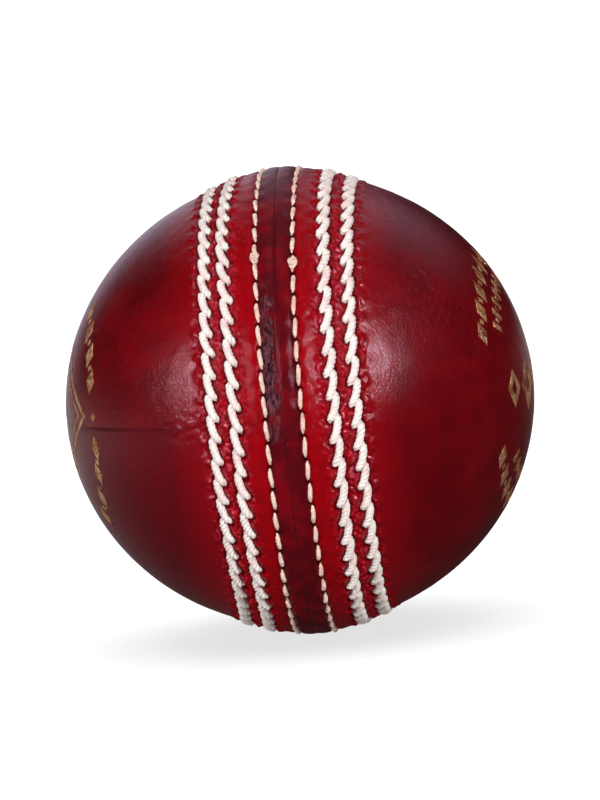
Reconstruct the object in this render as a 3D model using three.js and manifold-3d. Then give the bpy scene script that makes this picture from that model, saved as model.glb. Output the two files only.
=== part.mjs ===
// A hand-stitched leather cricket ball: four leather quarters, six rows of seam stitching,
// lining pads and a wound centre of cork strips and yarn. All sizes are in millimetres.
//
// The origin is the centre of the ball. The seam is a circle in the plane x = 0, and the
// poles of the two leather hemispheres are on the X axis. +Z is up and -Y is the front.

import * as THREE from 'three';
import { mergeVertices } from 'three/addons/utils/BufferGeometryUtils.js';
import Module from 'manifold-3d';

// ---- Driving dimensions ----------------------------------------------------------------

const GAP = 0.3; // clearance between neighbouring pieces

// Leather cover: a slightly flattened ball with a raised band along the seam.
const POLE_RADIUS = 36.1; // centre to the pole of a hemisphere
const SHOULDER_RADIUS = 34.78; // centre to the plain surface, continued to the seam plane
const SEAM_RADIUS = 36.05; // centre to the flat lips on each side of the seam joint
const SEAM_RISE = 1.3; // how far the raised band stands over the plain surface at the joint
const SEAM_EDGE_ANGLE = 20; // degrees from the seam plane to the edge of the raised band
const LIP_WIDTH = 2.15; // each lip is level from the seam plane to this far from it
const LEATHER_INSIDE_RADIUS = 32.3;

// Seam stitching: three rows on each side, each one cord that goes round the whole seam.
const LONG_LEG_SHARE = 0.72; // share of one pitch taken by the slanted, visible leg
const GROOVE_SIDE_CLEARANCE = 0.3; // between a cord and the walls of its groove
const CORNER_ALLOWANCE = 1.2; // a bent cord is this much wider at its corners
const THICK_CORD = { stitches: 65, cordRadius: 0.55, swing: 0.42, dip: 0.08, sides: 4 };
const THIN_CORD = { stitches: 62, cordRadius: 0.36, swing: 0.06, dip: 0.16, sides: 3 };
const STITCH_ROWS = [
  { name: 'inner', angle: 4.65, height: -0.42, ...THIN_CORD },
  { name: 'middle', angle: 12.2, height: 0.0, ...THICK_CORD },
  { name: 'outer', angle: 18.1, height: 0.0, ...THICK_CORD },
];

// Hidden thread that closes the joint between the two quarters of a hemisphere.
const QUARTER_THREAD_RADIUS = 0.45; // half the thread's thickness
const QUARTER_THREAD_ARC = 33.4; // centre of the ball to the middle of the thread
const QUARTER_THREAD_START = 13.5; // distance from the seam plane to the thread's ends

// Lining pads glued into the leather cups.
const LINING_OUTSIDE_RADIUS = LEATHER_INSIDE_RADIUS - GAP;
const LINING_THICKNESS = 1.0;

// Wound centre: a nucleus, then layers of cork strips, each bound down by a yarn winding.
const NUCLEUS_RADIUS = 12.5;
const LAYER_COUNT = 4;
const STRIPS_PER_LAYER = 4;
const CORK_THICKNESS = 2.9;
const YARN_THICKNESS = 1.05;
const YARN_OPENING_RADIUS = 1.6; // the winding leaves a small hole at each end of the axis
const YARN_OPENING_SIDES = 8;

// Facets. The inner balls use every second facet corner of the outer ones, so they nest.
const COVER_SEGMENTS = 40;
const COVER_ARC_STEPS = 12;
const CENTRE_SEGMENTS = 20;
const CENTRE_ARC_STEPS = 6;
const DOME_STEPS = 8;
const THREAD_SIDES = 6;
const THREAD_SEGMENTS = 32;
const MERGE_TOLERANCE = 1e-4;
const FAR = 100; // larger than the ball, for cutting boxes

// ---- Solids ----------------------------------------------------------------------------

const wasm = await Module();
wasm.setup();

// Makes a solid from a closed geometry. Triangles that a pole has shrunk to a line are dropped.
function toSolid(geometry) {
  geometry.deleteAttribute('normal');
  geometry.deleteAttribute('uv');
  const merged = mergeVertices(geometry, MERGE_TOLERANCE);
  const corners = merged.index.array;
  const triangles = [];
  for (let i = 0; i < corners.length; i += 3) {
    const [a, b, c] = corners.slice(i, i + 3);
    if (a !== b && b !== c && c !== a) {
      triangles.push(a, b, c);
    }
  }
  const mesh = new wasm.Mesh({
    numProp: 3,
    vertProperties: merged.attributes.position.array,
    triVerts: Uint32Array.from(triangles),
  });
  return new wasm.Manifold(mesh);
}

function toGeometry(solid) {
  const mesh = solid.getMesh();
  const geometry = new THREE.BufferGeometry();
  geometry.setAttribute('position', new THREE.BufferAttribute(mesh.vertProperties, mesh.numProp));
  geometry.setIndex(new THREE.BufferAttribute(mesh.triVerts, 1));
  geometry.computeVertexNormals();
  return geometry;
}

// Turns a profile about the X axis. Each point is (distance from the axis, x). The facets
// are centred on the Y and Z axes, so the ball has level facets at its lowest places.
function revolve(points, segments) {
  const geometry = new THREE.LatheGeometry(points, segments, Math.PI / segments);
  geometry.rotateZ(-Math.PI / 2);
  return toSolid(geometry);
}

function ball(radius, segments, arcSteps) {
  const points = [];
  for (let i = 0; i <= arcSteps; i += 1) {
    const angle = Math.PI * (i / arcSteps - 0.5);
    const fromAxis = i === 0 || i === arcSteps ? 0 : radius * Math.cos(angle);
    points.push(new THREE.Vector2(fromAxis, radius * Math.sin(angle)));
  }
  return revolve(points, segments);
}

function shell(outsideRadius, insideRadius, segments, arcSteps) {
  const outside = ball(outsideRadius, segments, arcSteps);
  return outside.subtract(ball(insideRadius, segments, arcSteps));
}

// A box between two corners, each given as [x, y, z].
function boxBetween(low, high) {
  const from = new THREE.Vector3(...low);
  const to = new THREE.Vector3(...high);
  const size = to.clone().sub(from);
  const middle = from.add(to).multiplyScalar(0.5);
  const geometry = new THREE.BoxGeometry(size.x, size.y, size.z);
  geometry.translate(middle.x, middle.y, middle.z);
  return toSolid(geometry);
}

// Everything on one side of the plane across an axis. side is +1 or -1, and the box starts
// that far from the plane.
function halfSpace(axis, side, start) {
  const low = [-FAR, -FAR, -FAR];
  const high = [FAR, FAR, FAR];
  if (side > 0) {
    low[axis] = start;
  } else {
    high[axis] = -start;
  }
  return boxBetween(low, high);
}

const X = 0;
const Y = 1;
const Z = 2;

// ---- Leather cover ---------------------------------------------------------------------

// Distance from the centre to the plain leather, at an angle from the seam plane.
function plainRadius(angle) {
  return 1 / Math.hypot(Math.sin(angle) / POLE_RADIUS, Math.cos(angle) / SHOULDER_RADIUS);
}

// The same with the raised band along the seam.
function leatherRadius(angle) {
  const edge = THREE.MathUtils.degToRad(SEAM_EDGE_ANGLE);
  const share = Math.min(Math.abs(angle) / edge, 1);
  const rise = SEAM_RISE * Math.cos((share * Math.PI) / 2) ** 2;
  return Math.min(plainRadius(angle) + rise, SEAM_RADIUS);
}

// Height of the leather over the X axis at a distance from the seam plane.
function surfaceAt(x) {
  if (x <= LIP_WIDTH) {
    return SEAM_RADIUS;
  }
  const angle = Math.asin(x / SHOULDER_RADIUS);
  return Math.sqrt(leatherRadius(angle) ** 2 - x ** 2);
}

// Where a row's cord runs: its distance from the seam plane and from the X axis.
function rowPlace(row) {
  const angle = THREE.MathUtils.degToRad(row.angle);
  const radius = leatherRadius(angle) + row.height;
  return { x: radius * Math.sin(angle), fromAxis: radius * Math.cos(angle) };
}

// One half of the outside profile, from the seam plane to the pole: the flat lip, three
// square grooves for the stitch cords, then the smooth dome.
function halfProfile() {
  const points = [new THREE.Vector2(SEAM_RADIUS, 0)];
  for (const row of STITCH_ROWS) {
    const place = rowPlace(row);
    const halfWidth = row.swing + row.cordRadius * CORNER_ALLOWANCE + GROOVE_SIDE_CLEARANCE;
    const floor = place.fromAxis - row.dip - row.cordRadius * CORNER_ALLOWANCE - GAP;
    for (const side of [-1, 1]) {
      const x = place.x + side * halfWidth;
      const wall = [new THREE.Vector2(floor, x), new THREE.Vector2(surfaceAt(x), x)];
      points.push(...(side < 0 ? wall.reverse() : wall));
    }
  }
  const lastAngle = Math.asin(points.at(-1).y / SHOULDER_RADIUS);
  for (let i = 1; i <= DOME_STEPS; i += 1) {
    const angle = THREE.MathUtils.lerp(lastAngle, Math.PI / 2, i / DOME_STEPS);
    const radius = plainRadius(angle);
    const fromAxis = i === DOME_STEPS ? 0 : radius * Math.cos(angle);
    points.push(new THREE.Vector2(fromAxis, radius * Math.sin(angle)));
  }
  return points;
}

// The facets would cut inside the true radius, so the profile is widened to make their
// middles true.
function coverBody() {
  const widen = 1 / Math.cos(Math.PI / COVER_SEGMENTS);
  const half = halfProfile().map((p) => new THREE.Vector2(p.x * widen, p.y));
  const mirrored = half.slice(1).reverse().map((p) => new THREE.Vector2(p.x, -p.y));
  return revolve([...mirrored, ...half], COVER_SEGMENTS);
}

// Part of a ring around the ball's centre, on one side of the seam plane. The ring lies
// in the plane across the given axis.
function quarterJointRing(acrossAxis, side, thickness, start) {
  const ring = new THREE.TorusGeometry(
    QUARTER_THREAD_ARC, thickness, THREAD_SIDES, THREAD_SEGMENTS,
  );
  if (acrossAxis === Y) {
    ring.rotateX(Math.PI / 2);
  }
  return toSolid(ring).intersect(halfSpace(X, side, start));
}

// ---- Stitch cords ----------------------------------------------------------------------

// The middle line of one row's cord. It zigzags along the seam in straight legs, a long
// slanted leg and a short return leg for each stitch.
class StitchCurve extends THREE.Curve {
  constructor(row, side) {
    super();
    this.row = row;
    this.side = side;
    this.legCount = 2 * row.stitches - 1;
  }

  // The corner at the start of a leg. Even corners are on the pole's side of the row.
  corner(index) {
    const { row, side } = this;
    const place = rowPlace(row);
    const pole = index % 2 === 0 ? 1 : -1;
    const turn = Math.floor(index / 2) + (index % 2) * LONG_LEG_SHARE;
    const angle = (turn / row.stitches) * 2 * Math.PI;
    const radius = place.fromAxis + pole * row.dip;
    return new THREE.Vector3(
      side * (place.x + pole * row.swing),
      -radius * Math.cos(angle),
      -radius * Math.sin(angle),
    );
  }

  getPoint(t, target = new THREE.Vector3()) {
    const along = t * this.legCount;
    const leg = Math.min(Math.floor(along), this.legCount - 1);
    return target.copy(this.corner(leg)).lerp(this.corner(leg + 1), along - leg);
  }

  // Steps go from corner to corner, not by length.
  getUtoTmapping(u) {
    return u;
  }
}

function polygonShape(radius, sides) {
  const points = [];
  for (let i = 0; i < sides; i += 1) {
    const angle = (2 * Math.PI * i) / sides;
    points.push(new THREE.Vector2(radius * Math.cos(angle), radius * Math.sin(angle)));
  }
  return new THREE.Shape(points);
}

function stitchRowGeometry(row, side) {
  const curve = new StitchCurve(row, side);
  return new THREE.ExtrudeGeometry(polygonShape(row.cordRadius, row.sides), {
    extrudePath: curve,
    steps: curve.legCount,
    bevelEnabled: false,
  });
}

// ---- Materials and nodes ---------------------------------------------------------------

const COLOURS = {
  leather: { color: 0x8a0c16, roughness: 0.35 },
  thickThread: { color: 0xe9dfcf, roughness: 0.85 },
  thinThread: { color: 0xd9c7b4, roughness: 0.85 },
  lining: { color: 0xb58e6a, roughness: 0.95 },
  hiddenThread: { color: 0xcdbfa8, roughness: 0.85 },
  nucleus: { color: 0x6a4a34, roughness: 0.9 },
  cork: { color: 0xb98a5c, roughness: 0.95 },
  yarn: { color: 0xd8cdb8, roughness: 0.95 },
};

const cricketBall = new THREE.Group();

function addPiece(name, geometry, look) {
  const material = new THREE.MeshStandardMaterial({ metalness: 0, ...look });
  const mesh = new THREE.Mesh(geometry, material);
  mesh.name = name;
  cricketBall.add(mesh);
}

// The quarters of the right hemisphere meet in the plane y = 0, and those of the left
// hemisphere in the plane z = 0.
const HEMISPHERES = [
  { name: 'right', side: 1, acrossAxis: Y, quarters: { rear: 1, front: -1 } },
  { name: 'left', side: -1, acrossAxis: Z, quarters: { upper: 1, lower: -1 } },
];

function addLeather() {
  const hollow = ball(LEATHER_INSIDE_RADIUS, COVER_SEGMENTS, COVER_ARC_STEPS);
  const cover = coverBody().subtract(hollow);
  for (const { name, side, acrossAxis, quarters } of HEMISPHERES) {
    const channelStart = QUARTER_THREAD_START - GAP;
    const channelRadius = QUARTER_THREAD_RADIUS + GAP;
    const channel = quarterJointRing(acrossAxis, side, channelRadius, channelStart);
    const cup = cover.intersect(halfSpace(X, side, GAP / 2)).subtract(channel);
    for (const [place, quarterSide] of Object.entries(quarters)) {
      const quarter = cup.intersect(halfSpace(acrossAxis, quarterSide, GAP / 2));
      addPiece(`leather_${name}_${place}_quarter`, toGeometry(quarter), COLOURS.leather);
    }
    const thread = quarterJointRing(
      acrossAxis, side, QUARTER_THREAD_RADIUS, QUARTER_THREAD_START,
    );
    addPiece(`quarter_joint_thread_${name}`, toGeometry(thread), COLOURS.hiddenThread);
  }
}

function addLinings() {
  const inside = LINING_OUTSIDE_RADIUS - LINING_THICKNESS;
  const full = shell(LINING_OUTSIDE_RADIUS, inside, COVER_SEGMENTS, COVER_ARC_STEPS);
  for (const { name, side } of HEMISPHERES) {
    const pad = full.intersect(halfSpace(X, side, GAP / 2));
    addPiece(`lining_pad_${name}`, toGeometry(pad), COLOURS.lining);
  }
}

function addStitchRows() {
  for (const { name, side } of HEMISPHERES) {
    for (const row of STITCH_ROWS) {
      const look = row.name === 'inner' ? COLOURS.thinThread : COLOURS.thickThread;
      addPiece(`seam_stitch_row_${name}_${row.name}`, stitchRowGeometry(row, side), look);
    }
  }
}

// One quarter turn of a cork layer. Alternate layers are turned half a strip, so that
// their joints don't line up.
function corkStrip(layerShell, layer, strip) {
  const stagger = layer % 2 === 0 ? 0.5 : 0;
  const wedge = new THREE.BoxGeometry(2 * FAR, FAR, FAR);
  wedge.translate(0, FAR / 2 + GAP / 2, FAR / 2 + GAP / 2);
  wedge.rotateX(((strip + stagger) * 2 * Math.PI) / STRIPS_PER_LAYER);
  return layerShell.intersect(toSolid(wedge));
}

function yarnWinding(outsideRadius, insideRadius) {
  const winding = shell(outsideRadius, insideRadius, CENTRE_SEGMENTS, CENTRE_ARC_STEPS);
  const hole = new THREE.CylinderGeometry(
    YARN_OPENING_RADIUS, YARN_OPENING_RADIUS, 2 * FAR, YARN_OPENING_SIDES,
  );
  hole.rotateZ(Math.PI / 2);
  return winding.subtract(toSolid(hole));
}

function addCentre() {
  const nucleus = ball(NUCLEUS_RADIUS, CENTRE_SEGMENTS, CENTRE_ARC_STEPS);
  addPiece('cork_rubber_nucleus', toGeometry(nucleus), COLOURS.nucleus);
  let radius = NUCLEUS_RADIUS;
  for (let layer = 1; layer <= LAYER_COUNT; layer += 1) {
    const corkInside = radius + GAP;
    const corkOutside = corkInside + CORK_THICKNESS;
    const corkLayer = shell(corkOutside, corkInside, CENTRE_SEGMENTS, CENTRE_ARC_STEPS);
    for (let strip = 1; strip <= STRIPS_PER_LAYER; strip += 1) {
      const name = `cork_layer_${layer}_strip_${strip}`;
      addPiece(name, toGeometry(corkStrip(corkLayer, layer, strip)), COLOURS.cork);
    }
    const yarnInside = corkOutside + GAP;
    radius = yarnInside + YARN_THICKNESS;
    addPiece(`yarn_winding_${layer}`, toGeometry(yarnWinding(radius, yarnInside)), COLOURS.yarn);
  }
}

addLeather();
addLinings();
addStitchRows();
addCentre();

export default cricketBall;
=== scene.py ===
"""A hand-stitched leather cricket ball, on a pale floor in soft studio light.

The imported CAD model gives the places: the poles, the seam's lips and each stitch row are
read from it. Lengths in this script are in millimetres until a mesh is made, and angles
are in radians. The seam is the circle x = 0. An "angle from the seam" runs from 0 there
to a quarter turn at a pole, and a "turn" angle runs round the X axis, from 0 at the front
(-Y), downwards.
"""

import math
from functools import partial

import bmesh
import bpy
import numpy as np
from mathutils import Matrix, Vector


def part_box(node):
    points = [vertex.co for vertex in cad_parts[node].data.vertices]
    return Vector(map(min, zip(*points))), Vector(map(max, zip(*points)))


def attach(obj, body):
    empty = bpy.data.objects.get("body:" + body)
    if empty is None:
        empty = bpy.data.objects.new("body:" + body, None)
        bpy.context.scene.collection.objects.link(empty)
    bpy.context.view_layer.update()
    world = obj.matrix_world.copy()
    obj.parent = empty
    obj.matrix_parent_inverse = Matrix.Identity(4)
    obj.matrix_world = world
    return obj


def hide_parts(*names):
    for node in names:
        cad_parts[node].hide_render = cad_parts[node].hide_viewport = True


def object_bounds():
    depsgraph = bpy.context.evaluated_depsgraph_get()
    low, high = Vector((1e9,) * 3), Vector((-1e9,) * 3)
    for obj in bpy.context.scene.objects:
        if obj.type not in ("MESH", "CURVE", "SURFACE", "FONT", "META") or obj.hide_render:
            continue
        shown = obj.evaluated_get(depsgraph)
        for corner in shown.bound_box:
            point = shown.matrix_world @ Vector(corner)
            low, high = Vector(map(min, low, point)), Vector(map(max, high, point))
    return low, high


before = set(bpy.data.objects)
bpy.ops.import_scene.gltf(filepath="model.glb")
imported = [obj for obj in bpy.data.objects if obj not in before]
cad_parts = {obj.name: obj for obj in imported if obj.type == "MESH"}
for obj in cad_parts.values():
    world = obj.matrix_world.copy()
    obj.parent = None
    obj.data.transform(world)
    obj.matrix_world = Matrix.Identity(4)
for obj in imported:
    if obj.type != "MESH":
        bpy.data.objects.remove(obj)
cad_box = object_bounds()

# ---- Driving dimensions, in millimetres ------------------

MM = 0.001
TAU = 2 * math.pi

POLE_RADIUS = cad_box[1].x / MM
SEAM_RADIUS = cad_box[1].z / MM
SHOULDER_RADIUS = 34.78     # plain leather, continued to the seam plane
SEAM_EDGE = math.radians(20)        # edge of the raised band
BAND_RADIUS = 35.1          # turns angles into distances over the leather beside the seam
LEATHER_INSIDE_RADIUS = 32.45
JOINT_GAP = 0.03            # half the gap between the two hemispheres
QUARTER_GAP = 0.006         # half the gap between the quarters of one hemisphere

RAW_EDGE_MIDDLE = math.radians(-14)     # turn angle of the rough part of the left lip
RAW_EDGE_REACH = math.radians(17)       # how far it runs each way

STITCHES = {"inner": 62, "middle": 65, "outer": 65}


def row_angle(row):
    """Angle from the seam of one stitch row of the CAD model."""
    low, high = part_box("seam_stitch_row_right_" + row)
    return math.atan2((low.x + high.x) / 2, high.z - (high.x - low.x) / 4)


ROW_ANGLE = {row: row_angle(row) for row in STITCHES}
PITCH = TAU * SHOULDER_RADIUS / STITCHES["middle"]

THICK_CORD_RADIUS = 0.63
THICK_SWING = 0.34          # how far a stitch's ends are to each side of its row
THICK_SHOWN = 0.02          # height of a stitch's middle over the leather
THICK_SUNK = 0.72           # depth of its ends under the leather
THICK_TAPER = 0.76          # thickness of the buried cord, as a share of the rest
THIN_CORD_RADIUS = 0.36
THIN_SUNK = 0.95
KNOT_TURN = math.radians(-41)       # where the inner rows' threads are tied off

CORK_LAYERS = 4
CORK_STRIPS = 4                 # to a layer
CORK_CLEARANCE = 0.21           # how far each strip is moved off the X axis
YARN_OPENING_RADIUS = 1.6

HEMISPHERES = (("right", 1), ("left", -1))
QUARTERS = (
    # name, side of the seam, turn angle where the quarter starts
    ("leather_right_front_quarter", 1, -TAU / 4),
    ("leather_right_rear_quarter", 1, TAU / 4),
    ("leather_left_lower_quarter", -1, 0.0),
    ("leather_left_upper_quarter", -1, TAU / 2),
)


# ---- Small tools -----------------------------------------

def smoothstep(low, high, value):
    share = np.clip((value - low) / (high - low), 0, 1)
    return share * share * (3 - 2 * share)


def bell(distance, width):
    """1 at distance 0, falling to 0 over a few widths."""
    return np.exp(-((distance / width) ** 2))


def waves(points, size, seed):
    """Smooth random field from -1 to 1 over points (N, 3), with lumps about size across."""
    count = 28
    rng = np.random.default_rng(seed)
    direction = rng.normal(size=(count, 3))
    direction /= np.linalg.norm(direction, axis=1)[:, None]
    frequency = rng.uniform(0.55, 1.35, count) / size
    phase = rng.uniform(0, TAU, count)
    field = np.cos(TAU * (points @ direction.T) * frequency + phase).sum(axis=1)
    return np.clip(field * math.sqrt(2 / count) / 2, -1, 1)


def place(turn, from_axis, x):
    """Points (N, 3) from a turn angle about X, a distance from the X axis and x."""
    return np.stack([x, -from_axis * np.cos(turn), -from_axis * np.sin(turn)], axis=-1)


def unit(vectors):
    return vectors / np.linalg.norm(vectors, axis=-1, keepdims=True)


def mesh_object(name, points, faces, attributes=None, face_slots=None):
    """A new smooth mesh object. points are in millimetres and faces are index tuples."""
    mesh = bpy.data.meshes.new(name)
    mesh.from_pydata((np.asarray(points) * MM).tolist(), [], faces)
    for key, values in (attributes or {}).items():
        layer = mesh.attributes.new(key, "FLOAT", "POINT")
        layer.data.foreach_set("value", np.asarray(values, np.float32))
    if face_slots is not None:
        mesh.polygons.foreach_set("material_index", np.asarray(face_slots, np.int32))
    mesh.shade_smooth()
    mesh.update()
    mesh_piece = bpy.data.objects.new(name, mesh)
    bpy.context.scene.collection.objects.link(mesh_piece)
    return mesh_piece


def tidy_mesh(piece):
    """Joins double points, drops unused ones and makes every face point outwards."""
    shape = bmesh.new()
    shape.from_mesh(piece.data)
    bmesh.ops.remove_doubles(shape, verts=shape.verts, dist=0.001 * MM)
    loose = [v for v in shape.verts if not v.link_faces]
    bmesh.ops.delete(shape, geom=loose, context="VERTS")
    bmesh.ops.recalc_face_normals(shape, faces=shape.faces)
    shape.to_mesh(piece.data)
    shape.free()


def add_piece(piece, materials, replaced=()):
    """Gives a new piece its materials and joins it to the CAD frame."""
    for material in materials:
        piece.data.materials.append(material)
    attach(piece, "root")
    if replaced:
        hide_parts(*replaced)


def zip_rows(a, b):
    """Faces between two rows of vertex numbers, which may differ in length."""
    if len(a) == len(b):
        return [(a[i], b[i], b[i + 1], a[i + 1]) for i in range(len(a) - 1)]
    faces = []
    i = j = 0
    while i < len(a) - 1 or j < len(b) - 1:
        a_next = (i + 1) / (len(a) - 1) if i < len(a) - 1 else 2
        b_next = (j + 1) / (len(b) - 1) if j < len(b) - 1 else 2
        if a_next <= b_next:
            faces.append((a[i], b[j], a[i + 1]))
            i += 1
        else:
            faces.append((a[i], b[j], b[j + 1]))
            j += 1
    return faces


def join_rows(rows):
    """Faces of a sheet, between each row of vertex numbers and the next."""
    return [face for a, b in zip(rows, rows[1:]) for face in zip_rows(a, b)]


def flipped(faces):
    return [face[::-1] for face in faces]


# ---- Shape of the leather --------------------------------

def plain_radius(angle):
    return 1 / np.hypot(np.sin(angle) / POLE_RADIUS, np.cos(angle) / SHOULDER_RADIUS)


def band_radius(angle):
    """Distance from the centre to the leather, before stitches press into it."""
    share = np.minimum(np.abs(angle) / SEAM_EDGE, 1)
    rise = (SEAM_RADIUS - SHOULDER_RADIUS) * np.cos(share * TAU / 4) ** 2
    return plain_radius(angle) + rise


class ThinStitch:
    """One dash of an inner row. It lies a little aslant."""

    SLANT = 0.46            # millimetres across the row, from the start to the end

    @classmethod
    def slant(cls, share):
        return cls.SLANT * (0.5 - share)


class ThickStitch:
    """The slanted visible leg of one stitch of a middle or outer row, seen from above.

    It starts on the pole's side of its row and ends, beside the start of the next stitch,
    in a barb that points to the seam.
    """

    START = -0.18           # in pitches, along the row
    END = 1.09
    BARB = 0.42             # millimetres that the end goes past the row's swing

    @classmethod
    def middle(cls, share):
        """(distance along the row in pitches, distance across it, + to the pole)."""
        along = cls.START + (cls.END - cls.START) * share
        across = THICK_SWING * (1 - 2 * smoothstep(0.22, 1.0, share))
        return along, across - cls.BARB * smoothstep(0.70, 1.0, share)


def distance_to_stitches(along, across):
    """Distance in millimetres from points to the nearest thick stitch of their row.

    along is counted in pitches and across in millimetres from the row.
    """
    nearest = np.full(along.shape, 9.0)
    shares = np.linspace(0.06, 0.97, 9)
    at, off = ThickStitch.middle(shares)
    phase = along - np.floor(along)
    for neighbour in (-1, 0, 1):
        for k in range(len(shares) - 1):
            ax, ay = (at[k] + neighbour) * PITCH, off[k]
            bx, by = (at[k + 1] + neighbour) * PITCH, off[k + 1]
            px, py = phase * PITCH - ax, across - ay
            dx, dy = bx - ax, by - ay
            t = np.clip((px * dx + py * dy) / (dx * dx + dy * dy), 0, 1)
            nearest = np.minimum(nearest, np.hypot(px - t * dx, py - t * dy))
    return nearest


def hole_distance(along, across, hole_along, hole_across):
    """Distance in millimetres to the nearest of a row's needle holes."""
    phase = along - hole_along
    phase = (phase - np.round(phase)) * PITCH
    return np.hypot(phase, across - hole_across)


def row_phase(row, side):
    """Where a row's first stitch starts, in pitches, so that rows don't line up exactly."""
    offset = {"inner": 0.55, "middle": 0.0, "outer": 0.42}[row]
    return offset + (0.21 if side < 0 else 0.0)


def row_wander(row, side, turn):
    """How far a hand-sewn row strays from its true circle, in millimetres to the pole."""
    around = np.angle(np.exp(1j * turn))
    wander = 0.12 * np.sin(3 * around + len(row) + side)
    if side < 0 and row != "inner":
        wander = wander - 0.85 * bell(around - 0.95, 0.5)
        if row == "middle":
            wander = wander + 0.6 * bell(around + 0.9, 0.4)
    return wander


def row_angles(row, side, turn, across):
    """Angles from the seam of points that lie a distance across from a row."""
    return ROW_ANGLE[row] + (across + row_wander(row, side, turn)) / BAND_RADIUS


class Skin:
    """Points on the plain leather of one hemisphere, with distances in millimetres."""

    def __init__(self, turn, angle, side):
        self.turn, self.angle, self.side = turn, angle, side
        from_axis = BAND_RADIUS * np.cos(angle)
        self.points = place(turn, from_axis, side * BAND_RADIUS * np.sin(angle))
        self.from_seam = angle * BAND_RADIUS
        # The right hemisphere's quarters meet in the plane y = 0, the left's in z = 0.
        across_joint = np.cos(turn) if side > 0 else np.sin(turn)
        self.from_quarter_joint = np.abs(from_axis * across_joint)
        self.outside_band = smoothstep(math.radians(19), math.radians(23), angle)

    def beside(self, row):
        """(distance along a row in stitches, distance across it, + to the pole)."""
        along = self.turn * STITCHES[row] / TAU - row_phase(row, self.side)
        across = self.from_seam - ROW_ANGLE[row] * BAND_RADIUS
        return along, across - row_wander(row, self.side, self.turn)

    def waves(self, size, seed):
        return waves(self.points, size, seed)


# Each function below gives (height, painted shade) of one feature of the leather. height is
# in millimetres over the plain band shape. The painted shade is 1 deep in holes and creases.

def slow_unevenness(skin):
    return 0.03 * skin.waves(16, 1), 0


def thick_row_bed(skin, row):
    """The cord sinks in, and the leather between stitches stands up in pillows."""
    along, across = skin.beside(row)
    gap = distance_to_stitches(along, across)
    start_hole = hole_distance(along, across, ThickStitch.START, THICK_SWING + 0.1)
    end_hole = hole_distance(along, across, ThickStitch.END, -THICK_SWING - 0.28)
    holes = bell(start_hole, 0.28) + bell(end_hole, 0.36)
    lumps = 0.5 + 0.5 * np.cos(TAU * (along - 0.15) + 1.3 * np.sign(across))
    pillows = 0.27 * lumps + 0.16 * skin.waves(0.9, 7 + skin.side)
    height = pillows * bell(np.abs(across) - 1.4, 0.8)
    height -= 0.16 * bell(across + 0.1, 1.5) + 0.3 * bell(gap, 0.62) + 0.5 * holes
    # Painted shade: dark in the needle holes, and a thin dark outline round each stitch as
    # its contact shadow.
    return height, np.maximum(np.clip(holes, 0, 1), 0.75 * bell(gap - 0.6, 0.22))


def barb_creases(skin):
    """Creases drawn from the middle row's barbs towards the inner row."""
    along, across = skin.beside("middle")
    fan = smoothstep(-4.3, -1.6, across) * smoothstep(-0.6, -1.3, across)
    slanted = along + 0.32 * across + 0.25 * skin.waves(3.5, 21)
    return 0.09 * fan * np.cos(TAU * slanted) * (0.6 + 0.4 * skin.waves(7, 22)), 0


def outer_puckers(skin):
    """Puckers just outside the outer row."""
    along, across = skin.beside("outer")
    fade = smoothstep(0.5, 1.1, across) * smoothstep(3.6, 1.2, across)
    return 0.05 * fade * np.cos(TAU * along + 1.5 * skin.waves(4, 23)), 0


def inner_row_bed(skin):
    """A narrow slit in a trough, with a hole at each end of every dash.
    The slit, the holes and the trough are darkened with painted shade.
    """
    along, across = skin.beside("inner")
    trough = bell(across, 0.6)
    first = hole_distance(along, across, 0.08, ThinStitch.slant(0.08))
    last = hole_distance(along, across, 0.92, ThinStitch.slant(0.92))
    holes = bell(first, 0.26) + bell(last, 0.26)
    lumps = np.cos(TAU * along) * bell(np.abs(across) - 0.9, 0.5)
    slit = bell(across + 0.1, 0.16) * (0.75 + 0.25 * skin.waves(4, 24))
    height = 0.06 * lumps - 0.3 * trough - 0.3 * holes - 0.1 * slit
    return height, np.clip(holes + 0.95 * slit + 0.3 * trough, 0, 1)


def seam_joint(skin):
    """Rounded lips, pressed together so well that the line comes and goes."""
    firm = 0.65 + 0.35 * skin.waves(9, 30)
    height = 0.07 * bell(skin.from_seam - 1.1, 0.7) - 0.14 * firm * bell(skin.from_seam, 0.15)
    # The dark line is painted shade in the groove between the lips.
    return height, 0.35 * firm * bell(skin.from_seam, 0.10)


def raw_edge_share(skin):
    """1 where the cut edge of the left leather shows, along part of the seam."""
    if skin.side > 0:
        return np.zeros(skin.angle.shape)
    share = smoothstep(0.35, 0.75, skin.from_seam + 0.3 * skin.waves(1.6, 33))
    share *= smoothstep(2.65, 2.35, skin.from_seam)
    from_middle = np.abs(np.angle(np.exp(1j * (skin.turn - RAW_EDGE_MIDDLE))))
    ragged = from_middle + 0.12 * skin.waves(2.5, 34)
    return share * smoothstep(RAW_EDGE_REACH + 0.10, RAW_EDGE_REACH - 0.22, ragged)


def raw_edge_fibres(skin):
    """Torn fibres that lie along the raw edge."""
    lying = skin.points * np.array([1, 1, 0.3])
    fibres = waves(lying, 0.45, 31) + 0.7 * waves(lying, 0.3, 32)
    return raw_edge_share(skin) * (0.11 * fibres - 0.14), 0


def quarter_joint(skin):
    """The joint between the quarters: a fine line, with creases where it nears the seam."""
    away = skin.from_quarter_joint
    faint = (0.6 + 0.4 * skin.waves(9, 42)) * (0.3 + 0.7 * skin.outside_band)
    faint *= 0.4 + 0.6 * smoothstep(0.38, 0.75, skin.angle)
    creases = waves(skin.points * np.array([0.45, 1, 1]), 1.3, 41)
    creases *= bell(away, 2.2) * skin.outside_band * smoothstep(0.85, 0.4, skin.angle)
    height = 0.08 * creases - faint * (0.02 * bell(away, 0.2) + 0.025 * bell(away, 0.7))
    # Painted shade darkens the joint line.
    return height, np.maximum(0.8 * faint, 0.35) * bell(away, 0.13)


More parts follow.
